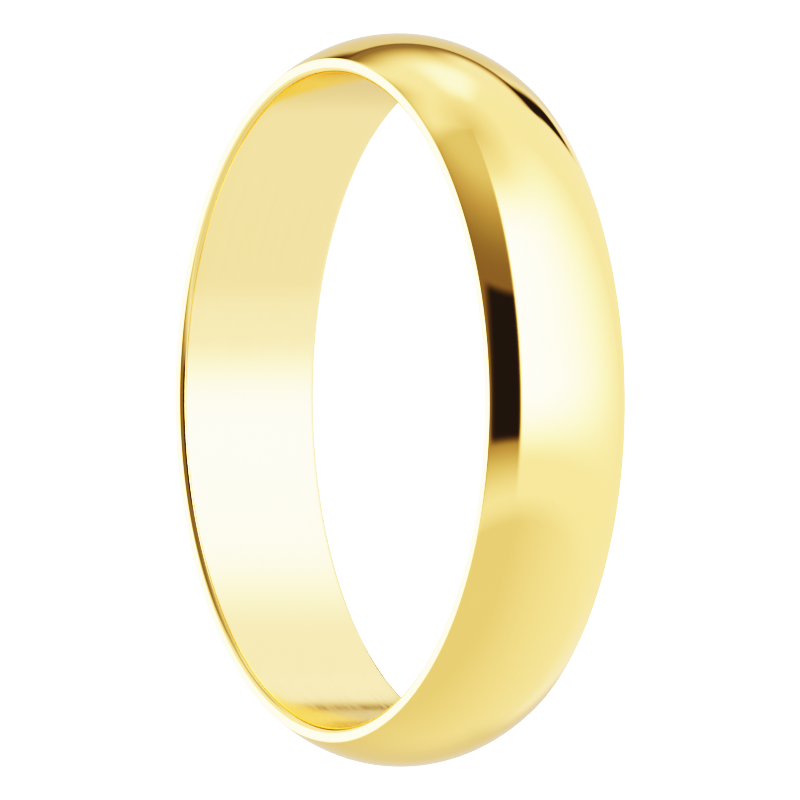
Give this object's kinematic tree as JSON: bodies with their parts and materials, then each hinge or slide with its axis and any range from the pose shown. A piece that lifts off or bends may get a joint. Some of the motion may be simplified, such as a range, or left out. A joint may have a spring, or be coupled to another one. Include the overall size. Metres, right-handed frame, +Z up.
{
  "type": "wedding band",
  "caption": "Plain half-round wedding band in polished yellow gold: domed outside, straight bore with rounded inner edges.",
  "frame": {"origin": "centre of the finger hole, on its axis and half way between the two side faces", "axes": "+Y along the finger's axis, square to the side faces; +Z up with the band standing on its edge; X and Z are radial"},
  "size_m": [0.0194, 0.004, 0.0194],
  "materials": {
    "yellow_gold": "polished"
  },
  "bodies": {
    "root": {"band": "yellow_gold"}
  },
  "joints": []
}
